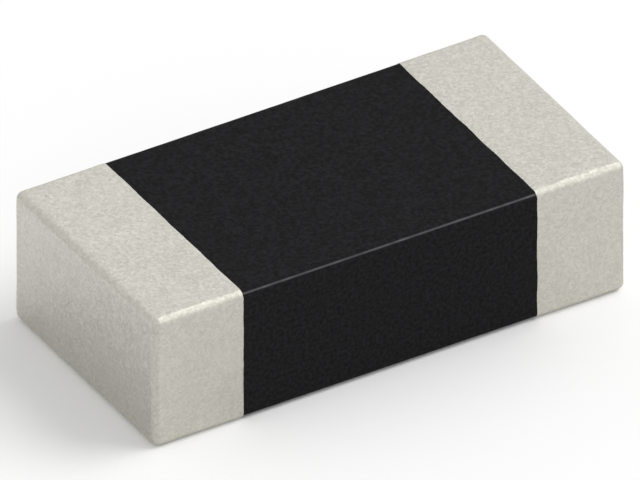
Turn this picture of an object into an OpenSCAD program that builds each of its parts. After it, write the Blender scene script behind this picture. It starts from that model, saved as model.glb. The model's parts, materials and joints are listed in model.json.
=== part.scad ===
// Thick-film chip resistor, case size 0603 (1608 metric).
// A snapped alumina plate carries a printed resistor film between two printed electrodes. Glass and a black
// protective coat cover the film. Dipped silver, plated nickel and plated tin wrap each end of the plate.
// The origin is the centre of the chip, with +X along its length and +Z up. The terminals are left and right
// as seen from the front, from -Y.

/* [Chip] */
// Length over both terminals
chip_length = 1.6; // [1.3:0.01:3.2]
// Width over the terminals
chip_width = 0.8; // [0.7:0.01:1.6]
// Height over the terminals, from the solder faces to the top
chip_height = 0.45; // [0.3:0.01:0.7]

/* [Terminals] */
// Length of the band that each terminal covers on the top, the sides and the underside
terminal_band = 0.3; // [0.2:0.01:0.4]
// Thickness of the dipped silver that wraps each end of the plate
edge_electrode_thickness = 0.012; // [0.006:0.001:0.02]
// Thickness of the nickel barrier over the silver
nickel_thickness = 0.006; // [0.003:0.001:0.01]
// Thickness of the tin over the nickel
tin_thickness = 0.008; // [0.004:0.001:0.015]

/* [Ceramic plate] */
// Depth of the chamfer that scribing leaves along the plate's upper edges
scribe_chamfer = 0.01; // [0.005:0.001:0.02]

/* [Printed electrodes] */
// Thickness of the printed electrodes on the plate's top and underside
electrode_thickness = 0.008; // [0.005:0.001:0.015]
// Length of each electrode on the plate's underside
bottom_electrode_length = 0.2; // [0.1:0.01:0.26]
// Bare ceramic left between an electrode and each long edge of the plate
electrode_margin = 0.05; // [0.02:0.01:0.1]

/* [Resistor film] */
// Thickness of the film
film_thickness = 0.007; // [0.004:0.001:0.012]
// Bare ceramic left between the film and each long edge of the plate
film_margin = 0.125; // [0.06:0.005:0.15]
// Length by which the film laps onto each top electrode
film_lap = 0.05; // [0.03:0.01:0.08]
// Width of the laser's trim cut
trim_width = 0.03; // [0.02:0.005:0.05]
// Length of the cut's first leg, in from the film's front edge
trim_depth = 0.2; // [0.1:0.01:0.3]
// Length of the cut's second leg, along the film
trim_leg = 0.25; // [0.1:0.01:0.3]
// Distance of the cut's first leg from the middle of the film, towards the left
trim_offset = 0.16; // [0.05:0.01:0.25]

/* [Coats] */
// Thickness of the glass above the film's laps
glass_thickness = 0.005; // [0.003:0.001:0.008]
// Width of the glass rim around the film
glass_rim = 0.012; // [0.005:0.001:0.02]
// Length of the protective coat that seals onto the top electrode past each end of the glass
coat_seal = 0.014; // [0.008:0.001:0.03]
// Height by which the terminals stand proud of the protective coat
coat_recess = 0.004; // [0.002:0.001:0.006]

/* [Hidden] */

$fn = 64;
left = -1;
right = 1;

// The three metals that wrap an end grow evenly, so each one's outer edges are rounded by its depth of metal
nickel_depth = edge_electrode_thickness + nickel_thickness;
tin_depth = nickel_depth + tin_thickness;

// The core is the plate with its printed electrodes, and the wrapped metals start at its faces
core_height = chip_height - 2 * tin_depth;
plate_length = chip_length - 2 * tin_depth;
plate_width = chip_width - 2 * tin_depth;
plate_height = core_height - 2 * electrode_thickness;
plate_top = plate_height / 2;

// The body is the stretch between the terminals, which the protective coat covers on all four sides
body_length = chip_length - 2 * terminal_band;
coat_depth = tin_depth - coat_recess;

// The coat seals the glass, the glass rims the film, and the film laps onto the top electrodes, which start
// where the plate's end chamfers end
glass_length = body_length - 2 * coat_seal;
film_length = glass_length - 2 * glass_rim;
film_width = plate_width - 2 * film_margin;
glass_width = film_width + 2 * glass_rim;
electrode_start = plate_length / 2 - scribe_chamfer;
electrode_width = plate_width - 2 * electrode_margin;
top_electrode_length = electrode_start - film_length / 2 + film_lap;

// Heights above the plate's top
film_lap_height = electrode_thickness + film_thickness;
glass_height = film_lap_height + glass_thickness;

// Cutting shapes overshoot the faces that they cut by this much
overcut = 0.1;

// A rectangle about the origin with round corners
module rounded_rectangle(size, radius) {
    square([size.x - 2 * radius, size.y], center = true);
    square([size.x, size.y - 2 * radius], center = true);
    for (x = [-1, 1], y = [-1, 1])
        translate([x * (size.x / 2 - radius), y * (size.y / 2 - radius)])
            circle(radius);
}

// A block about the origin with all its edges rounded: what three rounded prisms have in common
module rounded_block(size, radius) {
    intersection() {
        linear_extrude(size.z, center = true)
            rounded_rectangle([size.x, size.y], radius);
        rotate([90, 0, 0])
            linear_extrude(size.y, center = true)
                rounded_rectangle([size.x, size.z], radius);
        rotate([90, 0, 90])
            linear_extrude(size.x, center = true)
                rounded_rectangle([size.y, size.z], radius);
    }
}

// The plate and its printed electrodes, grown by a depth of metal on every side
module core_grown_by(depth) {
    rounded_block([plate_length, plate_width, core_height] + 2 * depth * [1, 1, 1], depth);
}

// The part of a shape that lies in one terminal's band
module in_band(side) {
    reach = terminal_band + overcut;
    intersection() {
        children();
        translate([side * (body_length + reach) / 2, 0, 0])
            cube([reach, chip_width + overcut, chip_height + overcut], center = true);
    }
}

// Cross-section of the plate over one of its spans, with the chamfers that scribing leaves on top
module scribed_section(span) {
    edge = span / 2;
    shoulder = plate_top - scribe_chamfer;
    polygon([
        [-edge, -plate_top], [edge, -plate_top],
        [edge, shoulder], [edge - scribe_chamfer, plate_top],
        [scribe_chamfer - edge, plate_top], [-edge, shoulder]
    ]);
}

// A layer printed on the plate's top, from its outline. A copy that cuts another layer is rooted in the plate
module on_plate(thickness, root = 0) {
    translate([0, 0, plate_top - root])
        linear_extrude(thickness + root)
            children();
}

// Outline of one printed electrode, which runs inwards from the plate's end chamfer
module electrode_outline(side, length) {
    translate([side * (electrode_start - length / 2), 0])
        square([length, electrode_width], center = true);
}

// The film before its trim: it lies on the plate and steps up onto the inner end of each electrode
module film_block(root = 0) {
    step_length = film_lap + film_thickness;
    on_plate(film_thickness, root)
        square([film_length, film_width], center = true);
    for (side = [left, right])
        on_plate(film_lap_height, root)
            translate([side * (film_length - step_length) / 2, 0])
                square([step_length, film_width], center = true);
}

// The laser's L-shaped cut, which enters from the front and goes down through the glass and the film
module trim_cut() {
    front = -glass_width / 2 - overcut;
    turn = trim_depth - film_width / 2;
    translate([-trim_offset - trim_width / 2, 0, 0])
        linear_extrude(plate_top + glass_height + overcut) {
            translate([0, front])
                square([trim_width, turn - front]);
            translate([0, turn - trim_width])
                square([trim_leg, trim_width]);
        }
}

// Film and glass together: the glass flows level over the film before the laser cuts both
module glazed_block(root = 0) {
    difference() {
        on_plate(glass_height, root)
            square([glass_length, glass_width], center = true);
        trim_cut();
    }
}

module top_electrode(side, root = 0) {
    color("#d3d2cb")
        on_plate(electrode_thickness, root)
            electrode_outline(side, top_electrode_length);
}

module bottom_electrode(side, root = 0) {
    color("#d3d2cb")
        mirror([0, 0, 1])
            on_plate(electrode_thickness, root)
                electrode_outline(side, bottom_electrode_length);
}

module ceramic_substrate() {
    color("#efece4")
        intersection() {
            rotate([90, 0, 0])
                linear_extrude(plate_width, center = true)
                    scribed_section(plate_length);
            rotate([90, 0, 90])
                linear_extrude(plate_length, center = true)
                    scribed_section(plate_width);
        }
}

module resistor_film() {
    color("#3b3a3c")
        difference() {
            film_block();
            for (side = [left, right])
                top_electrode(side, overcut);
            trim_cut();
        }
}

module glass_coat() {
    color("#5d7f78")
        difference() {
            glazed_block();
            film_block(overcut);
            for (side = [left, right])
                top_electrode(side, overcut);
        }
}

// The black coat sleeves the body between the terminals and runs down into the trim cut
module protective_coat() {
    section = [plate_width, core_height] + 2 * coat_depth * [1, 1];
    color("#222224")
        difference() {
            rotate([90, 0, 90])
                linear_extrude(body_length, center = true)
                    rounded_rectangle(section, coat_depth);
            ceramic_substrate();
            glazed_block(overcut / 2);
            for (side = [left, right]) {
                top_electrode(side, overcut);
                bottom_electrode(side, overcut);
            }
        }
}

module edge_electrode(side) {
    color("#c4c2ba")
        difference() {
            in_band(side)
                core_grown_by(edge_electrode_thickness);
            ceramic_substrate();
            top_electrode(side, overcut);
            bottom_electrode(side, overcut);
        }
}

module nickel_barrier(side) {
    color("#b3aea3")
        in_band(side)
            difference() {
                core_grown_by(nickel_depth);
                core_grown_by(edge_electrode_thickness);
            }
}

module tin_plating(side) {
    color("#cdcbc2")
        in_band(side)
            difference() {
                core_grown_by(tin_depth);
                core_grown_by(nickel_depth);
            }
}

ceramic_substrate();
top_electrode(left);  // top_electrode_left
top_electrode(right);  // top_electrode_right
bottom_electrode(left);  // bottom_electrode_left
bottom_electrode(right);  // bottom_electrode_right
resistor_film();
glass_coat();
protective_coat();
edge_electrode(left);  // edge_electrode_left
edge_electrode(right);  // edge_electrode_right
nickel_barrier(left);  // nickel_barrier_left
nickel_barrier(right);  // nickel_barrier_right
tin_plating(left);  // tin_plating_left
tin_plating(right);  // tin_plating_right
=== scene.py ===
# %% [markdown]
# # A chip resistor under the microscope
# The real part is 1.6 mm long: a white ceramic plate in a black coat, with a pale metal terminal wrapped
# round each end. Its layers were drawn as CAD solids, and this lesson gives them their looks. The solids
# are loaded first, as a frame that is never moved.

# %% Load the frame
import json
import math

import bmesh
import bpy
import numpy as np
from mathutils import Matrix, Vector


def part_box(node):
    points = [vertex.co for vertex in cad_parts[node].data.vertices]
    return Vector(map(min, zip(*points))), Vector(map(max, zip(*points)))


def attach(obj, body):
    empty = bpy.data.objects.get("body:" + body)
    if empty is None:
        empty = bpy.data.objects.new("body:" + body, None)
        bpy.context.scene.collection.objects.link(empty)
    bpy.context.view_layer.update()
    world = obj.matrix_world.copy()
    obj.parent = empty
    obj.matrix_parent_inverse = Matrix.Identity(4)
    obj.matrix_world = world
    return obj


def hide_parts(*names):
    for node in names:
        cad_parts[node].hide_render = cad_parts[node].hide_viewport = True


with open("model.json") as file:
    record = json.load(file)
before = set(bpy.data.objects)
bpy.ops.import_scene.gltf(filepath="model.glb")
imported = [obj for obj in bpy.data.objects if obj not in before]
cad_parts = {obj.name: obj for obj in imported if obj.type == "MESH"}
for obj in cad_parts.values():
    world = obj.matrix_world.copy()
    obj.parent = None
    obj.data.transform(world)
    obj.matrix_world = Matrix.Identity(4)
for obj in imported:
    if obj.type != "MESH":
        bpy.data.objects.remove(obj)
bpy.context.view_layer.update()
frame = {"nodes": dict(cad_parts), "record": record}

# Sizes in this file are in millimetres, and Blender works in metres
MM = 0.001
scene = bpy.context.scene


def high_corner(node):
    """The highest corner of a CAD node's box, in millimetres from the middle of the chip."""
    return np.array(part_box(node)[1]) / MM


chip_half = high_corner("tin_plating_right")
print("nodes:", ", ".join(sorted(frame["nodes"])))
print("chip in mm:", np.round(2 * chip_half, 4))

# %% [markdown]
# ## The camera
# In the picture, edges that are parallel on the chip stay parallel, so it was drawn without perspective. A
# very long lens would come close, but an orthographic camera is exact. The directions of the chip's three
# edges in the picture give the camera's turn and rise. The scale is the one at which the chip's outline
# fills the same part of the picture. Rounded edges pull an outline in a little, so that is 1% more than
# the scale that the lengths of the drawn edges give.

# %% Set up the camera
PICTURE_WIDTH = 640
PIXELS_PER_MM = 344.9
VIEW_TURN = math.radians(-30.98)
VIEW_RISE = math.radians(34.47)
CAMERA_DISTANCE = 10 * MM
NEAREST_SEEN = 0.1 * MM
FARTHEST_SEEN = 100 * MM

towards_camera = Vector((
    math.sin(VIEW_TURN) * math.cos(VIEW_RISE),
    -math.cos(VIEW_TURN) * math.cos(VIEW_RISE),
    math.sin(VIEW_RISE),
))
camera = bpy.data.objects.new("camera", bpy.data.cameras.new("camera"))
camera.data.type = "ORTHO"
camera.data.ortho_scale = PICTURE_WIDTH / PIXELS_PER_MM * MM
camera.data.clip_start = NEAREST_SEEN
camera.data.clip_end = FARTHEST_SEEN
camera.location = towards_camera * CAMERA_DISTANCE
camera.rotation_euler = towards_camera.to_track_quat("Z", "Y").to_euler()
scene.collection.objects.link(camera)
scene.camera = camera
scene.view_settings.view_transform = "Standard"
print("picture width in mm:", round(camera.data.ortho_scale / MM, 4))

# %% [markdown]
# ## Colours and nodes
# A few small tools serve every material. Colours are picked as sRGB hex values, as a paint program shows
# them, but shaders add light and need linear numbers, so one function converts them. Another adds a shader
# node with its settings and links in one go, so that a material reads from top to bottom like a recipe.

# %% Tools for materials
# A Mix node has sockets for every kind of data, so those for colours are picked by their numbers
FACTOR = 0
COLOUR_A = 6
COLOUR_B = 7
MIXED = 2


def linear(hex_colour):
    """An sRGB hex colour as the linear red, green, blue and alpha that a shader socket takes."""
    levels = [int(hex_colour[start:start + 2], 16) / 255 for start in (1, 3, 5)]
    return [v / 12.92 if v <= 0.04045 else ((v + 0.055) / 1.055) ** 2.4 for v in levels] + [1.0]


def add_node(tree, kind, inputs, **settings):
    """Adds a node. An input given as another node's output is linked, and any other value is set."""
    node = tree.nodes.new("ShaderNode" + kind)
    for name, value in settings.items():
        setattr(node, name, value)
    for name, value in inputs.items():
        if isinstance(value, bpy.types.NodeSocket):
            tree.links.new(value, node.inputs[name])
        else:
            node.inputs[name].default_value = value
    return node


def new_material(name):
    """An empty material and its node tree."""
    material = bpy.data.materials.new(name)
    material.use_nodes = True
    material.node_tree.nodes.clear()
    return material, material.node_tree


def per_metre(size):
    """Texture scale that gives cells or grains of a size in millimetres."""
    return 1 / (size * MM)


print("mid grey in linear light:", round(linear("#808080")[0], 4))

# %% [markdown]
# ## The studio
# The picture has a plain white ground. Here it is a wide white floor under an even white sky, which gives
# most of the light. Lit panels could stand in for the sky, but the metal would mirror their borders. To the
# camera, and in the metal's reflections, the sky is plain white.

# %% Sky
SKY_LIGHT = 0.62

world = bpy.data.worlds.new("even_white_sky")
world.use_nodes = True
scene.world = world
sky = world.node_tree
sky.nodes.clear()


def seen_directly(tree):
    """One for a ray from the camera, a reflection or clear glass, and zero for a ray that only lights."""
    path = add_node(tree, "LightPath", {}).outputs
    seen = add_node(tree, "Math", {0: path["Is Camera Ray"], 1: path["Is Glossy Ray"]}, operation="ADD")
    seen = add_node(tree, "Math", {0: seen.outputs[0], 1: path["Is Transmission Ray"]}, operation="ADD")
    return seen.outputs[0]


shine = add_node(sky, "MapRange", {"Value": seen_directly(sky), "To Min": SKY_LIGHT, "To Max": 1.0})
white = add_node(sky, "Background", {"Color": linear("#FFFFFF"), "Strength": shine.outputs[0]})
add_node(sky, "OutputWorld", {"Surface": white.outputs[0]})
print("sky light:", SKY_LIGHT)

# %% [markdown]
# A broad key lamp at the front right adds a soft shadow to the left of the chip. A faint lamp at the back
# right shines off the top towards the camera, so that the metal there glitters a little. Both are sun
# lamps, which need no distance, so the chip's small size doesn't matter. With the sky they light a level
# surface at about strength one, so that a colour renders as written.

# %% Lamps
# For each lamp, the direction that it shines from, its strength, and how wide it looks from the chip
LAMPS = {
    "key_lamp": (Vector((0.62, -0.22, 0.75)), 1.4, math.radians(40)),
    "sheen_lamp": (Vector((0.6, 0.3, 0.74)), 0.17, math.radians(50)),
}

level_light = SKY_LIGHT
for name, (origin, strength, width) in LAMPS.items():
    lamp = bpy.data.objects.new(name, bpy.data.lights.new(name, "SUN"))
    lamp.data.energy = strength
    lamp.data.angle = width
    lamp.rotation_euler = origin.to_track_quat("Z", "Y").to_euler()
    scene.collection.objects.link(lamp)
    level_light += strength / math.pi * origin.normalized().z
print("light on a level surface:", round(level_light, 3))

# %% [markdown]
# The floor is a disc, painted matte white. Paint falls a little short of white. More light would make up
# for that, but the pale metal would burn out, so the floor has a faint glow that only the camera and
# reflections see. The chip's shadow still shows.

# %% Floor
FLOOR_RADIUS = 40
FLOOR_SIDES = 96
FLOOR_GLOW = 0.07

disc = bmesh.new()
bmesh.ops.create_circle(disc, cap_ends=True, radius=FLOOR_RADIUS, segments=FLOOR_SIDES)
floor_mesh = bpy.data.meshes.new("floor")
disc.to_mesh(floor_mesh)
disc.free()
floor_mesh.transform(Matrix.Scale(MM, 4))
floor = bpy.data.objects.new("floor", floor_mesh)
floor.location.z = -chip_half[2] * MM
scene.collection.objects.link(floor)

paint, tree = new_material("white_matte_floor_paint")
glow = add_node(tree, "Math", {0: seen_directly(tree), 1: FLOOR_GLOW}, operation="MULTIPLY")
matte = add_node(tree, "BsdfPrincipled", {
    "Base Color": linear("#F9F9F9"), "Roughness": 0.9, "Specular IOR Level": 0.0,
    "Emission Color": linear("#FFFFFF"), "Emission Strength": glow.outputs[0],
})
add_node(tree, "OutputMaterial", {"Surface": matte.outputs[0]})
floor_mesh.materials.append(paint)
print("floor height in mm:", round(floor.location.z / MM, 4))

# %% [markdown]
# ## Matte tin
# The terminals end in a few micrometres of electroplated matte tin. It is pale grey with a warm tint, and
# dull, because it is a mosaic of small crystals that each face a slightly different way. Chips are plated
# while they tumble in a barrel, which flattens the crystals along the edges and scuffs them matte. The mesh
# carries an edge value, which is made further down and tells the material where that is. A bump would give
# soft dents, so a cell pattern gives the mosaic instead: each cell leans by itself and takes a tone of its
# own. Real crystals are 2 to 8 micrometres across, and a pixel is 3, so they are drawn near the largest, or
# they wouldn't show.

# %% Material: matte tin
TIN_CRYSTAL = 0.007
TIN_CLOUD = 0.11
# How strongly crystals lean on faces and on edges, and the edge value from which they are fully scuffed
TIN_TILT = 0.17
SCUFFED_TILT = 0.05
SCUFFED_EDGE = 0.3


def electroplated_matte_tin():
    """Pale warm grey metal with a dull, finely glittering shine that softens along its edges."""
    material, tree = new_material("electroplated_matte_tin")
    place = add_node(tree, "TexCoord", {}).outputs["Object"]
    crystal = add_node(tree, "TexVoronoi", {"Vector": place, "Scale": per_metre(TIN_CRYSTAL)})
    dice = add_node(tree, "SeparateColor", {"Color": crystal.outputs["Color"]})
    cloud = add_node(tree, "TexNoise", {"Vector": place, "Scale": per_metre(TIN_CLOUD), "Detail": 3.0})
    tone = add_node(tree, "Mix", {
        FACTOR: dice.outputs[0], COLOUR_A: linear("#B3B1A8"), COLOUR_B: linear("#D1CFC6"),
    }, data_type="RGBA")
    haze = add_node(tree, "Mix", {
        FACTOR: cloud.outputs["Fac"], COLOUR_A: linear("#BAB8AF"), COLOUR_B: linear("#CAC8BF"),
    }, data_type="RGBA")
    colour = add_node(tree, "Mix", {
        FACTOR: 0.5, COLOUR_A: tone.outputs[MIXED], COLOUR_B: haze.outputs[MIXED],
    }, data_type="RGBA")
    edge = add_node(tree, "Attribute", {}, attribute_name="edge").outputs["Fac"]
    dull = add_node(tree, "MapRange", {"Value": dice.outputs[1], "To Min": 0.32, "To Max": 0.42})
    rough = add_node(tree, "MapRange", {
        "Value": edge, "From Max": SCUFFED_EDGE, "To Min": dull.outputs[0], "To Max": 0.65,
    })
    tilt = add_node(tree, "MapRange", {
        "Value": edge, "From Max": SCUFFED_EDGE, "To Min": TIN_TILT, "To Max": SCUFFED_TILT,
    })
    # A cell's random colour runs from zero to one, so less a half it leans either way
    lean = add_node(tree, "VectorMath", {
        0: crystal.outputs["Color"], 1: (0.5, 0.5, 0.5),
    }, operation="SUBTRACT")
    facet = add_node(tree, "VectorMath", {0: lean.outputs[0], "Scale": tilt.outputs[0]}, operation="SCALE")
    face = add_node(tree, "NewGeometry", {}).outputs["Normal"]
    facing = add_node(tree, "VectorMath", {0: facet.outputs[0], 1: face}, operation="ADD")
    normal = add_node(tree, "VectorMath", {0: facing.outputs[0]}, operation="NORMALIZE")
    metal = add_node(tree, "BsdfPrincipled", {
        "Base Color": colour.outputs[MIXED], "Metallic": 1.0,
        "Roughness": rough.outputs[0], "Normal": normal.outputs[0],
    })
    add_node(tree, "OutputMaterial", {"Surface": metal.outputs[0]})
    return material


finishes = {"tin": electroplated_matte_tin()}
print("tin crystals in pixels:", round(TIN_CRYSTAL * PIXELS_PER_MM, 1))

# %% [markdown]
# ## Black coat
# The coat between the terminals is epoxy filled with carbon black and fine silica, printed on and baked.
# It is a deep, slightly blue black with a dull sheen. Grains of the filler show as faint paler specks. They
# are at most 10 micrometres across, and are drawn a little larger, so that they show. Tumbling rubs the
# coat's long edges, and a thin grey line is painted along them, which stands partly for that rub and partly
# for a painted highlight on the rounded edges. Bare epoxy would mirror a white sky and look grey, but the
# filler roughens the skin and swallows most of that reflection, so the specular level is low.

# %% Material: black coat
FILLER_GRAIN = 0.012
FILLER_RELIEF = 0.0012
COAT_CLOUD = 0.15
# Size of the patches in the grey edge line, which is partly rub wear and partly a painted highlight
RUB_AND_HIGHLIGHT_PATCH = 0.05
# The edge value at which the grey of rub wear and painted highlight starts
RUB_AND_HIGHLIGHT_EDGE = 0.55


def baked_black_epoxy():
    """Deep black with a dull sheen, faint paler specks, and thin grey edges of rub wear and painted
    highlight.
    """
    material, tree = new_material("baked_black_epoxy")
    place = add_node(tree, "TexCoord", {}).outputs["Object"]
    grain = add_node(tree, "TexNoise", {
        "Vector": place, "Scale": per_metre(FILLER_GRAIN), "Detail": 2.0, "Roughness": 0.6,
    })
    speck = add_node(tree, "MapRange", {
        "Value": grain.outputs["Fac"], "From Min": 0.35, "From Max": 0.75,
    })
    resin = add_node(tree, "Mix", {
        FACTOR: speck.outputs[0], COLOUR_A: linear("#1A1A1B"), COLOUR_B: linear("#29292B"),
    }, data_type="RGBA")
    # Painted highlight and rub wear: the resin turns grey along the crest of the edges, stronger in patches
    rub_highlight_patch = add_node(tree, "TexNoise", {"Vector": place, "Scale": per_metre(RUB_AND_HIGHLIGHT_PATCH)})
    rub_and_highlight = add_node(tree, "MapRange", {
        "Value": rub_highlight_patch.outputs["Fac"], "From Min": 0.3, "From Max": 0.7, "To Min": 0.5, "To Max": 1.0,
    })
    edge = add_node(tree, "Attribute", {}, attribute_name="edge").outputs["Fac"]
    worn_and_highlight = add_node(tree, "MapRange", {
        "Value": edge, "From Min": RUB_AND_HIGHLIGHT_EDGE, "To Max": rub_and_highlight.outputs[0],
    })
    colour = add_node(tree, "Mix", {
        FACTOR: worn_and_highlight.outputs[0], COLOUR_A: resin.outputs[MIXED], COLOUR_B: linear("#6A6A6C"),
    }, data_type="RGBA")
    cloud = add_node(tree, "TexNoise", {"Vector": place, "Scale": per_metre(COAT_CLOUD), "Detail": 3.0})
    rough = add_node(tree, "MapRange", {"Value": cloud.outputs["Fac"], "To Min": 0.46, "To Max": 0.62})
    relief = add_node(tree, "Bump", {
        "Height": grain.outputs["Fac"], "Strength": 0.4, "Distance": FILLER_RELIEF * MM,
    })
    plastic = add_node(tree, "BsdfPrincipled", {
        "Base Color": colour.outputs[MIXED], "Roughness": rough.outputs[0], "IOR": 1.55,
        "Specular IOR Level": 0.012, "Normal": relief.outputs[0],
    })
    add_node(tree, "OutputMaterial", {"Surface": plastic.outputs[0]})
    return material


finishes["black_coat"] = baked_black_epoxy()
print("filler grains in pixels:", round(FILLER_GRAIN * PIXELS_PER_MM, 1))

# %% [markdown]
# ## Rounded blocks
# The coat and the terminals wrap one core, which is the plate with its printed electrodes. Each of them is
# that core grown by some depth. A bevel would round the edges, but its corners are uneven and it leaves few
# faces to shape. Instead, a grid is laid on the grown block's faces, and each grid point is pushed to a set
# distance from the nearest point of the core. The grid lines crowd together near the edges, so that an edge
# is rounded in equal steps of angle.

# %% Grid lines of a block
# Steps in an eighth of a turn round an edge, and the size of a cell on a flat face
ARC_STEPS = 5
CELL = 0.008

core_half = high_corner("ceramic_substrate")
core_half[2] = high_corner("top_electrode_right")[2]


def grid_lines(flat, depth, start):
    """Grid positions along one axis, from a start over the core's flat and on round the block's edge."""
    even = np.linspace(start, flat, round((flat - start) / CELL) + 1)
    angles = np.linspace(0, math.pi / 4, ARC_STEPS + 1)[1:]
    return np.concatenate([even, flat + depth * np.tan(angles)])


def both_ways(lines):
    """Grid positions on both sides of the middle, from the positions on one side of it."""
    return np.concatenate([-lines[:0:-1], lines])


print("core in mm:", np.round(2 * core_half, 4))

# %% Rings, sheets and tubes
def ring_of(across, up):
    """The border of a grid of positions across and up, as one closed ring of index pairs."""
    last_across = len(across) - 1
    last_up = len(up) - 1
    ring = [(a, 0) for a in range(last_across)]
    ring += [(last_across, u) for u in range(last_up)]
    ring += [(a, last_up) for a in range(last_across, 0, -1)]
    return ring + [(0, u) for u in range(last_up, 0, -1)]


def squares_of(across, up):
    """The squares of a grid of positions across and up, as the index pairs of their four corners."""
    squares = []
    for a in range(len(across) - 1):
        for u in range(len(up) - 1):
            squares.append(((a, u), (a + 1, u), (a + 1, u + 1), (a, u + 1)))
    return squares


def tube_faces(rows, size):
    """Four-cornered faces between neighbouring rows of points, where each row is a closed ring."""
    faces = []
    for row in range(rows - 1):
        for step in range(size):
            here = row * size + step
            beside = row * size + (step + 1) % size
            faces.append((here, beside, beside + size, here + size))
    return faces


print("faces between two rings of four points:", tube_faces(2, 4))

# %% [markdown]
# Plated metal and printed resin are never quite flat. A noise texture could displace them, but the edges
# and corners need shaping too, so the unevenness is worked out in code. A sum of many faint plane waves
# with random directions gives one of any wavelength that runs on smoothly over edges and corners. The
# random numbers have a fixed seed, so that the chip comes out the same each time.

# %% Gentle unevenness
WAVES = 48


def ripple(points, lengths, seed):
    """Smooth unevenness at points in mm, from -1 to 1, with wavelengths between two lengths in mm."""
    dice = np.random.default_rng(seed)
    directions = dice.normal(size=(WAVES, 3))
    directions /= np.linalg.norm(directions, axis=1, keepdims=True)
    wavelengths = np.exp(dice.uniform(math.log(lengths[0]), math.log(lengths[1]), WAVES))
    phases = dice.uniform(0, 2 * math.pi, WAVES)
    turns = points @ (directions * (2 * math.pi / wavelengths)[:, None]).T + phases
    return np.clip(np.cos(turns).sum(axis=1) / math.sqrt(2 * WAVES), -1, 1)


print("a ripple at the middle of the chip:", np.round(ripple(np.zeros((1, 3)), (0.03, 0.08), 1), 4))

# %% [markdown]
# ## Pieces from points and faces
# Each point gets an edge value, from zero on a flat face to one on the crest of a rounded edge, which the
# materials use for wear, and the coat also for a painted highlight along its edges. A material could find
# edges by itself, with a Bevel or Pointiness node, but the shapes here know their edges exactly.

# %% Edge values
# On the crest of an edge, the largest part of a direction falls short of one by this much
CREST = 1 - math.sqrt(0.5)


def edge_value(directions):
    """Zero where a direction faces straight along an axis, and one where it looks out over an edge."""
    return np.clip((1 - np.abs(directions).max(axis=1)) / CREST, 0, 1)


part_way_round = np.array([[0, math.sin(math.radians(30)), math.cos(math.radians(30))]])
print("edge value 30 degrees round an edge:", np.round(edge_value(part_way_round), 3))

# %% [markdown]
# When the chip is exported, its patterns are baked into pictures, and a flat map says where each corner of
# a face lies in the picture. An automatic unwrap could make that map, but it leaves slivers along rounded
# edges, and it spends half of the picture on faces that are hidden inside. So each new piece brings a map
# of its own.

# %% Add points and faces
# The export bakes through a map of this name
MAP_NAME = "OFBake"


def add_layers(shape):
    """Makes room for edge values at a shape's points, and for a map at the corners of its faces."""
    shape.verts.layers.float.new("edge")
    shape.loops.layers.uv.new(MAP_NAME)


def add_faces(shape, points, edges, faces, places):
    """Adds points with their edge values to a shape, and faces with their corners' places on the map."""
    edge_layer = shape.verts.layers.float["edge"]
    flat_map = shape.loops.layers.uv[MAP_NAME]
    verts = []
    for point, edge in zip(points, edges):
        verts.append(shape.verts.new(point))
        verts[-1][edge_layer] = edge
    for indices, corners in zip(faces, places):
        face = shape.faces.new([verts[index] for index in indices])
        for loop, place in zip(face.loops, corners):
            loop[flat_map].uv = place


print("map to bake through:", MAP_NAME)

# %% [markdown]
# The new pieces are built in millimetres and scaled to metres at the very end. Merging points by distance,
# for one, joins those within a tenth of a millimetre unless told otherwise, and the tin is thinner than a
# tenth of that, so it is safer to work in larger numbers.

# %% Turn a shape into a piece
SHARP = math.radians(40)


def make_piece(name, shape, node, slot):
    """Makes an object of a shape in mm that rides on the chip and stands for one CAD node."""
    bmesh.ops.recalc_face_normals(shape, faces=shape.faces)
    open_edges = sum(not edge.is_manifold for edge in shape.edges)
    mesh = bpy.data.meshes.new(name)
    shape.to_mesh(mesh)
    shape.free()
    mesh.transform(Matrix.Scale(MM, 4))
    mesh.shade_smooth()
    mesh.set_sharp_from_angle(angle=SHARP)
    mesh.materials.append(finishes[slot])
    piece = bpy.data.objects.new(name, mesh)
    scene.collection.objects.link(piece)
    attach(piece, "root")
    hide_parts(node)
    print(name, "has", len(mesh.polygons), "faces and", open_edges, "open edges")


print("edges that turn by more than this many degrees stay sharp:", round(math.degrees(SHARP)))

# %% [markdown]
# ## Tin terminals
# The tin is a thin cup over each end. A Solidify modifier could give it its wall, but the inside has to fit
# the nickel, so both skins are built. They share one grid, and the rim joins them: the rows of points run
# from the closed end of the inner skin, round the rim, to the closed end of the outer skin. Where the
# plating stops it creeps a little way onto the coat, so the rim of the outer skin reaches over it with a
# rounded front.

# %% Rows of a terminal
# How far the front of the creep bulges, and the shares of its height where the bulge is widest and ends
CREEP_NOSE = 0.0004
NOSE_HEIGHTS = (0.35, 0.75)

rim = high_corner("protective_coat")[0]
tin_depth = chip_half[2] - core_half[2]
coat_depth = high_corner("protective_coat")[2] - core_half[2]
nickel_depth = high_corner("nickel_barrier_right")[2] - core_half[2]


def terminal_rows(along):
    """Place along the chip, depth over the core and share of the creep for each row of a cup."""
    low, high = [coat_depth + share * (tin_depth - coat_depth) for share in NOSE_HEIGHTS]
    inner = [(x, nickel_depth, 0) for x in along[::-1]]
    front = [(rim, coat_depth, 0), (rim, coat_depth, 1), (rim - CREEP_NOSE, low, 1), (rim, high, 1)]
    outer = [(x, tin_depth, 1) for x in along[1:]]
    return inner + front + outer


print("wall of the tin in mm:", round(tin_depth - nickel_depth, 4))

# %% Points and faces of a terminal
along = grid_lines(core_half[0], tin_depth, rim)
across = both_ways(grid_lines(core_half[1], tin_depth, 0))
up = both_ways(grid_lines(core_half[2], tin_depth, 0))
ring = ring_of(across, up)
rows = terminal_rows(along)


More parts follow.
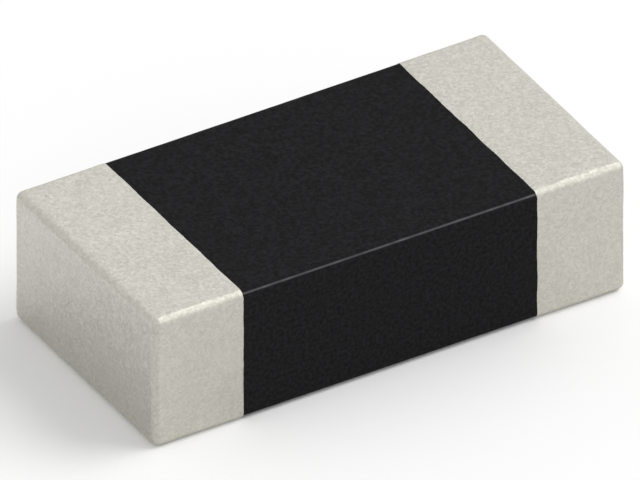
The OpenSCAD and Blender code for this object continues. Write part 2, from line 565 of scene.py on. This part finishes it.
def terminal_grid():
    """Points on the faces of an end block, with their depths and creep, and the faces between them."""
    points = [(x, across[a], up[u], depth, creep) for x, depth, creep in rows for a, u in ring]
    faces = tube_faces(len(rows), len(ring))
    # The first and the last row are the borders of two sheets that close the inner and the outer skin
    last_row = (len(rows) - 1) * len(ring)
    for first, depth in ((0, nickel_depth), (last_row, tin_depth)):
        index = {pair: first + step for step, pair in enumerate(ring)}
        for a in range(1, len(across) - 1):
            for u in range(1, len(up) - 1):
                index[a, u] = len(points)
                points.append((along[-1], across[a], up[u], depth, 0))
        faces += [[index[pair] for pair in square] for square in squares_of(across, up)]
    return np.array(points), faces


grid, terminal_faces = terminal_grid()
print("points in a terminal:", len(grid))

# %% [markdown]
# The silver below the tin was dipped as a paste, which draws back from edges, so each face of a terminal is
# slightly crowned. The drop towards a face's edges comes from a high power of the distance from its middle,
# which leaves most of the face nearly flat.

# %% Crown of a face
CROWN_POWER = 4

band_middle = (rim + chip_half[0]) / 2


def crown(points, away):
    """Share of the crown's drop at points of an end block, from the middle of a face to its edges."""
    reach = [chip_half[0] - band_middle, chip_half[1], chip_half[2]]
    share = (points - [band_middle, 0, 0]) / reach
    room = 1 - np.clip(share, -1, 1) ** CROWN_POWER
    room[np.arange(len(room)), np.abs(away).argmax(axis=1)] = 1
    return 1 - room.prod(axis=1)


half_way = np.array([[band_middle, chip_half[1] / 2, chip_half[2]]])
print("share of the drop half way to an edge of the top:", crown(half_way, np.array([[0, 0, 1]])))

# %% [markdown]
# The front of the creep wanders along the rim, in wide bays and in small notches. The grid behind it is
# drawn along, less and less with its distance from the rim.

# %% Creep of the rim
CREEP = 0.003
CREEP_BLEND = 0.03
CREEP_BAY = 0.00105
CREEP_BAY_LENGTHS = (0.06, 0.2)
CREEP_NOTCH = 0.00045
CREEP_NOTCH_LENGTHS = (0.02, 0.05)


def rim_creep(points, seed):
    """How far each point of a terminal is drawn towards the coat, in mm."""
    front = points * [0, 1, 1]
    creep = CREEP + CREEP_BAY * ripple(front, CREEP_BAY_LENGTHS, seed)
    creep += CREEP_NOTCH * ripple(front, CREEP_NOTCH_LENGTHS, seed + 1)
    near_rim = np.clip(1 - (points[:, 0] - rim) / CREEP_BLEND, 0, 1) ** 2
    return near_rim * creep


print("least creep in mm:", round(CREEP - CREEP_BAY - CREEP_NOTCH, 5))

# %% [markdown]
# The map of a terminal is the cup unfolded like a carton. The closed end lies in the middle with the four
# sides round it, so that only the short edges between the sides are cut. The inside, which nobody sees, is
# squeezed: its sides into thin strips beyond the rim, and its end into a free corner of the map.

# %% Unfold a terminal
SQUEEZED_SIDE = 0.1
SQUEEZED_END = 0.3


def row_distances():
    """How far each row of a cup lies from the closed end on the map, in mm."""
    path = np.array([(x - creep * CREEP, depth) for x, depth, creep in rows])
    steps = np.linalg.norm(np.diff(path, axis=0), axis=1)
    # The steps along the inside come first, then one across the rim and one under the creep
    hidden = len(along) + 1
    steps[:hidden] *= SQUEEZED_SIDE
    return np.append(steps[::-1].cumsum()[::-1], 0)


def terminal_map():
    """Places on the map for the corners of each face of a terminal."""
    distances = row_distances()
    starts = np.array([(across[a], up[u]) for a, u in ring])
    ends = np.roll(starts, -1, axis=0)
    # Each side folds out at a right angle to its stretch of the border
    outward = (ends - starts)[:, ::-1] * [1, -1]
    outward /= np.linalg.norm(outward, axis=1, keepdims=True)
    places = []
    for near, far in zip(distances[:-1, None, None] * outward, distances[1:, None, None] * outward):
        places.append(np.stack([starts + near, ends + near, ends + far, starts + far], axis=1))
    sheet = np.array([[(across[a], up[u]) for a, u in square] for square in squares_of(across, up)])
    corner = np.array([across[-1], up[-1]])
    places.append(SQUEEZED_END * sheet + corner + distances[0] / 2)
    places.append(sheet)
    # The map runs from zero to one both ways
    return np.concatenate(places) / (corner + distances[0]) / 2 + 0.5


terminal_places = terminal_map()
print("corners on the map:", terminal_places.shape[0] * terminal_places.shape[1])

# %% [markdown]
# A terminal is now the grid, pushed to its depth, less the crown and a faint wave. All unevenness goes
# inwards, so that the chip keeps its size. The two terminals differ only in their side and their seed.

# %% Shape a terminal
TIN_CROWN = 0.002
TIN_WAVE = 0.0012
TIN_WAVE_LENGTHS = (0.06, 0.3)


def tin_terminal(side, seed):
    """The points of one tin cup, for the left (-1) or right (1) end, and their edge values."""
    points = grid[:, :3]
    depth = grid[:, 3]
    core = np.clip(points, -core_half, core_half)
    away = points - core
    squares = away ** 2
    # The inner skin keeps the mitred corners of the nickel in CAD, and the outer skin is round
    round_corner = np.sqrt(squares.sum(axis=1))
    mitred_corner = np.sqrt(squares.sum(axis=1) - squares.min(axis=1))
    directions = away / np.where(depth > nickel_depth, round_corner, mitred_corner)[:, None]
    over_coat = np.clip((depth - coat_depth) / (tin_depth - coat_depth), 0, 1)
    uneven = TIN_WAVE * (ripple(points, TIN_WAVE_LENGTHS, seed) - 1) / 2
    uneven -= TIN_CROWN * crown(points, away)
    solid = core + directions * (depth + over_coat * uneven)[:, None]
    solid[:, 0] -= grid[:, 4] * rim_creep(points, seed + 1)
    return solid * [side, 1, 1], edge_value(directions)


print("deepest unevenness in mm:", round(TIN_CROWN + TIN_WAVE, 4))

# %% Make both terminals
# For each terminal, its side of the chip and the seed of its unevenness
TERMINALS = {"left": (-1, 10), "right": (1, 20)}

for name, (side, seed) in TERMINALS.items():
    points, edges = tin_terminal(side, seed)
    shape = bmesh.new()
    add_layers(shape)
    add_faces(shape, points, edges, terminal_faces, terminal_places)
    make_piece("tin_terminal_" + name, shape, "tin_plating_" + name, "tin")

# %% [markdown]
# ## Black coat sleeve
# The coat is a sleeve round the plate. Its outer skin gets a fine grid of its own, with the long soft waves
# and the shorter peel of a baked print. They go inwards too.

# %% Outer skin of the coat
COAT_WAVE = 0.0004
COAT_WAVE_LENGTHS = (0.15, 0.5)
COAT_PEEL = 0.0002
COAT_PEEL_LENGTHS = (0.03, 0.08)
COAT_SEED = 30

coat_along = both_ways(np.linspace(0, rim, round(rim / CELL) + 1))
coat_across = both_ways(grid_lines(core_half[1], coat_depth, 0))
coat_up = both_ways(grid_lines(core_half[2], coat_depth, 0))
coat_ring = ring_of(coat_across, coat_up)
block = np.array([(x, coat_across[a], coat_up[u]) for x in coat_along for a, u in coat_ring])
core = np.clip(block, -core_half, core_half)
away = (block - core) / np.linalg.norm(block - core, axis=1, keepdims=True)
waves = COAT_WAVE * (ripple(block, COAT_WAVE_LENGTHS, COAT_SEED) - 1) / 2
peel = COAT_PEEL * (ripple(block, COAT_PEEL_LENGTHS, COAT_SEED + 1) - 1) / 2
coat_skin = core + away * (coat_depth + waves + peel)[:, None]
print("points in the coat's skin:", len(coat_skin))

# %% [markdown]
# The inside of the coat was drawn exactly in CAD, with a rib that fills the laser's cut in the film. It
# could be cut again from the layers below, but it is safer to keep those faces. The CAD coat's outer faces
# and its ends are taken off, the new skin is put on, and each end is closed between its inner and outer
# border.

# %% Keep the coat's inside
# Points this close are one point, and a point beyond this share of the coat's depth is on its skin
WELD = 0.00005
NEAR_SKIN = 0.9

sleeve = bmesh.new()
sleeve.from_mesh(frame["nodes"]["protective_coat"].data)
bmesh.ops.transform(sleeve, matrix=Matrix.Scale(1 / MM, 4), verts=sleeve.verts)
bmesh.ops.remove_doubles(sleeve, verts=sleeve.verts, dist=WELD)


def on_skin(vert):
    """Whether a point of the CAD coat lies on its outer skin."""
    section = np.array(vert.co[1:])
    gap = section - np.clip(section, -core_half[1:], core_half[1:])
    return np.linalg.norm(gap) > NEAR_SKIN * coat_depth


def at_end(place, end):
    """Whether a place is in the plane where the coat stops, at its left (-1) or right (1) end."""
    return place.x * end > rim - WELD


outside = []
for face in sleeve.faces:
    middle = face.calc_center_median()
    if all(on_skin(vert) for vert in face.verts) or at_end(middle, -1) or at_end(middle, 1):
        outside.append(face)
bmesh.ops.delete(sleeve, geom=outside, context="FACES")
print("faces kept inside the coat:", len(sleeve.faces))

# %% [markdown]
# On the map, the skin is cut along two long edges, the one at the back of the top and the one at the front
# of the underside, and laid out as two strips. The edge between the top and the front, which shows most, is
# whole. The hidden faces go into a narrow column beside them, seen at a slant, so that none is edge on.

# %% Unroll the coat
HIDDEN_COLUMN = 0.05


def coat_map():
    """Places on the map for the corners of each face of the coat's skin."""
    border = np.array([(coat_across[a], coat_up[u]) for a, u in coat_ring])
    half = len(coat_ring) // 2
    walked = np.append(0, np.linalg.norm(np.diff(border[:half + 1], axis=0), axis=1).cumsum())
    walked *= (1 - HIDDEN_COLUMN) / walked[-1]
    places = []
    for near, far in zip(coat_along, coat_along[1:]):
        for step in range(len(coat_ring)):
            strip, place = divmod(step, half)
            left, right = walked[place:place + 2]
            low, high = [(strip + (x / rim + 1) / 2) / 2 for x in (near, far)]
            places.append([(left, low), (right, low), (right, high), (left, high)])
    return places


def place_hidden(faces, flat_map):
    """Puts hidden faces into the column beside the skin's strips."""
    for face in faces:
        for loop in face.loops:
            x, y, z = loop.vert.co / chip_half[0]
            column = 0.5 + (y + z) / 2
            loop[flat_map].uv = (1 - HIDDEN_COLUMN * column, 0.5 + (x + z / 2) / 2)


coat_places = coat_map()
print("faces on the coat's map:", len(coat_places))

# %% Join the coat's inside and its skin
add_layers(sleeve)
hidden = list(sleeve.faces)
coat_faces = tube_faces(len(coat_along), len(coat_ring))
add_faces(sleeve, coat_skin, edge_value(away), coat_faces, coat_places)
for end in (-1, 1):
    border = []
    for edge in sleeve.edges:
        if edge.is_boundary and all(at_end(vert.co, end) for vert in edge.verts):
            border.append(edge)
    filled = bmesh.ops.triangle_fill(sleeve, use_beauty=True, edges=border)
    hidden += [part for part in filled["geom"] if isinstance(part, bmesh.types.BMFace)]
place_hidden(hidden, sleeve.loops.layers.uv[MAP_NAME])
make_piece("black_coat_sleeve", sleeve, "protective_coat", "black_coat")

# %% [markdown]
# ## The layers inside
# The other layers are sealed in and show only when the chip is taken apart, so their CAD shapes stay as
# they are and get materials only. The plate is fired alumina: a warm white ceramic of small fused grains,
# dull and faintly translucent. Its grains are 3 to 5 micrometres across and are drawn larger, so that they
# show.

# %% Material: alumina
ALUMINA_GRAIN = 0.008
ALUMINA_RELIEF = 0.0008
ALUMINA_GLOW = 0.03


def fired_alumina():
    """Warm white ceramic, dull and slightly translucent, with a fine grain."""
    material, tree = new_material("fired_alumina")
    place = add_node(tree, "TexCoord", {}).outputs["Object"]
    grain = add_node(tree, "TexVoronoi", {"Vector": place, "Scale": per_metre(ALUMINA_GRAIN)})
    dice = add_node(tree, "SeparateColor", {"Color": grain.outputs["Color"]})
    colour = add_node(tree, "Mix", {
        FACTOR: dice.outputs[0], COLOUR_A: linear("#E8E5DC"), COLOUR_B: linear("#F5F2EB"),
    }, data_type="RGBA")
    rough = add_node(tree, "MapRange", {"Value": dice.outputs[1], "To Min": 0.5, "To Max": 0.65})
    relief = add_node(tree, "Bump", {
        "Height": grain.outputs["Distance"], "Strength": 0.5, "Distance": ALUMINA_RELIEF * MM,
    })
    ceramic = add_node(tree, "BsdfPrincipled", {
        "Base Color": colour.outputs[MIXED], "Roughness": rough.outputs[0], "IOR": 1.76,
        "Subsurface Weight": 0.2, "Subsurface Scale": ALUMINA_GLOW * MM, "Normal": relief.outputs[0],
    })
    add_node(tree, "OutputMaterial", {"Surface": ceramic.outputs[0]})
    return material


finishes["alumina"] = fired_alumina()
print("alumina grains in mm:", ALUMINA_GRAIN)

# %% [markdown]
# The electrodes on the plate are silver paste, screen printed and fired. The metal is pale and matte, and
# the wires of the screen leave a faint square pattern of dimples, which two crossed band patterns give.

# %% Material: printed silver
SCREEN_PITCH = 0.078
SCREEN_DIMPLE = 0.00078
# At a scale of one, the bands of a Wave Texture repeat at this distance
BAND_PERIOD = 2 * math.pi / 20


def screen_printed_silver():
    """Pale matte silver with the faint square dimples of a printing screen."""
    material, tree = new_material("screen_printed_silver")
    place = add_node(tree, "TexCoord", {}).outputs["Object"]
    scale = BAND_PERIOD * per_metre(SCREEN_PITCH)
    warp = add_node(tree, "TexWave", {"Vector": place, "Scale": scale}, bands_direction="X")
    weft = add_node(tree, "TexWave", {"Vector": place, "Scale": scale}, bands_direction="Y")
    dimple = add_node(tree, "Math", {0: warp.outputs["Fac"], 1: weft.outputs["Fac"]}, operation="MULTIPLY")
    colour = add_node(tree, "Mix", {
        FACTOR: dimple.outputs[0], COLOUR_A: linear("#D8D7D1"), COLOUR_B: linear("#CBCAC3"),
    }, data_type="RGBA")
    rough = add_node(tree, "MapRange", {"Value": dimple.outputs[0], "To Min": 0.45, "To Max": 0.55})
    relief = add_node(tree, "Bump", {
        "Height": dimple.outputs[0], "Strength": 0.5, "Distance": SCREEN_DIMPLE * MM,
    }, invert=True)
    metal = add_node(tree, "BsdfPrincipled", {
        "Base Color": colour.outputs[MIXED], "Metallic": 1.0,
        "Roughness": rough.outputs[0], "Normal": relief.outputs[0],
    })
    add_node(tree, "OutputMaterial", {"Surface": metal.outputs[0]})
    return material


finishes["printed_silver"] = screen_printed_silver()
print("screen pitch in mm:", SCREEN_PITCH)

# %% [markdown]
# The end electrodes are the same metal with more glass in it. They were dipped, and they dry smooth, with
# faint clouds and a yellower tint.

# %% Material: dipped silver
SILVER_CLOUD = 0.06
SILVER_RELIEF = 0.0012


def dip_coated_silver():
    """Slightly yellow matte silver with faint clouds."""
    material, tree = new_material("dip_coated_silver")
    place = add_node(tree, "TexCoord", {}).outputs["Object"]
    cloud = add_node(tree, "TexNoise", {"Vector": place, "Scale": per_metre(SILVER_CLOUD), "Detail": 4.0})
    colour = add_node(tree, "Mix", {
        FACTOR: cloud.outputs["Fac"], COLOUR_A: linear("#BAB8AE"), COLOUR_B: linear("#CECCC3"),
    }, data_type="RGBA")
    rough = add_node(tree, "MapRange", {"Value": cloud.outputs["Fac"], "To Min": 0.5, "To Max": 0.65})
    relief = add_node(tree, "Bump", {
        "Height": cloud.outputs["Fac"], "Strength": 0.5, "Distance": SILVER_RELIEF * MM,
    })
    metal = add_node(tree, "BsdfPrincipled", {
        "Base Color": colour.outputs[MIXED], "Metallic": 1.0,
        "Roughness": rough.outputs[0], "Normal": relief.outputs[0],
    })
    add_node(tree, "OutputMaterial", {"Surface": metal.outputs[0]})
    return material


finishes["dipped_silver"] = dip_coated_silver()
print("silver clouds in mm:", SILVER_CLOUD)

# %% [markdown]
# Nickel is plated between the silver and the tin, to keep the silver out of the solder. It is a warmer and
# darker grey than tin, with a satin shine and small round bumps where it grew. The bumps are about 3
# micrometres wide and are drawn twice that, so that they show.

# %% Material: nickel
NICKEL_BUMP = 0.006
NICKEL_RELIEF = 0.0006


def electroplated_nickel():
    """Warm grey metal with a satin shine and tiny round bumps."""
    material, tree = new_material("electroplated_nickel")
    place = add_node(tree, "TexCoord", {}).outputs["Object"]
    bump = add_node(tree, "TexVoronoi", {
        "Vector": place, "Scale": per_metre(NICKEL_BUMP),
    }, feature="SMOOTH_F1")
    colour = add_node(tree, "Mix", {
        FACTOR: bump.outputs["Distance"], COLOUR_A: linear("#B9B4A9"), COLOUR_B: linear("#A8A398"),
    }, data_type="RGBA")
    rough = add_node(tree, "MapRange", {"Value": bump.outputs["Distance"], "To Min": 0.28, "To Max": 0.4})
    relief = add_node(tree, "Bump", {
        "Height": bump.outputs["Distance"], "Strength": 0.4, "Distance": NICKEL_RELIEF * MM,
    }, invert=True)
    metal = add_node(tree, "BsdfPrincipled", {
        "Base Color": colour.outputs[MIXED], "Metallic": 1.0,
        "Roughness": rough.outputs[0], "Normal": relief.outputs[0],
    })
    add_node(tree, "OutputMaterial", {"Surface": metal.outputs[0]})
    return material


finishes["nickel"] = electroplated_nickel()
print("nickel bumps in mm:", NICKEL_BUMP)

# %% [markdown]
# The resistor itself is a fired film of ruthenium oxide in glass: nearly black, with the soft shine of the
# glass that binds it and paler islands of that glass.

# %% Material: resistor film
FILM_ISLAND = 0.02
FILM_RELIEF = 0.0004


def fired_oxide_film():
    """Nearly black film with a soft shine and paler glassy islands."""
    material, tree = new_material("fired_oxide_film")
    place = add_node(tree, "TexCoord", {}).outputs["Object"]
    island = add_node(tree, "TexNoise", {"Vector": place, "Scale": per_metre(FILM_ISLAND), "Detail": 3.0})
    colour = add_node(tree, "Mix", {
        FACTOR: island.outputs["Fac"], COLOUR_A: linear("#2C2B2D"), COLOUR_B: linear("#4A494B"),
    }, data_type="RGBA")
    rough = add_node(tree, "MapRange", {"Value": island.outputs["Fac"], "To Min": 0.5, "To Max": 0.3})
    relief = add_node(tree, "Bump", {
        "Height": island.outputs["Fac"], "Strength": 0.4, "Distance": FILM_RELIEF * MM,
    })
    film = add_node(tree, "BsdfPrincipled", {
        "Base Color": colour.outputs[MIXED], "Roughness": rough.outputs[0], "IOR": 1.65,
        "Normal": relief.outputs[0],
    })
    add_node(tree, "OutputMaterial", {"Surface": film.outputs[0]})
    return material


finishes["resistor_film"] = fired_oxide_film()
print("film islands in mm:", FILM_ISLAND)

# %% [markdown]
# A thin clear green glass is printed over the film before the laser trims both. Fired glass flows level, so
# it is shiny, with a few small bubbles.

# %% Material: glass
GLASS_BUBBLE = 0.015
GLASS_RELIEF = 0.0003


def fired_green_glass():
    """Clear green glass, level and shiny, with a few small bubbles."""
    material, tree = new_material("fired_green_glass")
    place = add_node(tree, "TexCoord", {}).outputs["Object"]
    bubble = add_node(tree, "TexVoronoi", {"Vector": place, "Scale": per_metre(GLASS_BUBBLE)})
    clear = add_node(tree, "MapRange", {"Value": bubble.outputs["Distance"], "From Max": 0.25})
    colour = add_node(tree, "Mix", {
        FACTOR: clear.outputs[0], COLOUR_A: linear("#86A39B"), COLOUR_B: linear("#5D7F78"),
    }, data_type="RGBA")
    rough = add_node(tree, "MapRange", {"Value": clear.outputs[0], "To Min": 0.3, "To Max": 0.12})
    relief = add_node(tree, "Bump", {
        "Height": clear.outputs[0], "Strength": 0.3, "Distance": GLASS_RELIEF * MM,
    })
    glass = add_node(tree, "BsdfPrincipled", {
        "Base Color": colour.outputs[MIXED], "Roughness": rough.outputs[0], "IOR": 1.6,
        "Transmission Weight": 0.7, "Normal": relief.outputs[0],
    })
    add_node(tree, "OutputMaterial", {"Surface": glass.outputs[0]})
    return material


finishes["overglaze"] = fired_green_glass()
print("glass bubbles in mm:", GLASS_BUBBLE)

# %% [markdown]
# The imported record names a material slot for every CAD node, so the finishes are handed out by that list.

# %% Hand out the finishes
for part in frame["record"]["subparts"]:
    mesh = frame["nodes"][part["node"]].data
    mesh.materials.clear()
    mesh.materials.append(finishes[part["material_slot"]])
print("finishes:", ", ".join(sorted(material.name for material in finishes.values())))
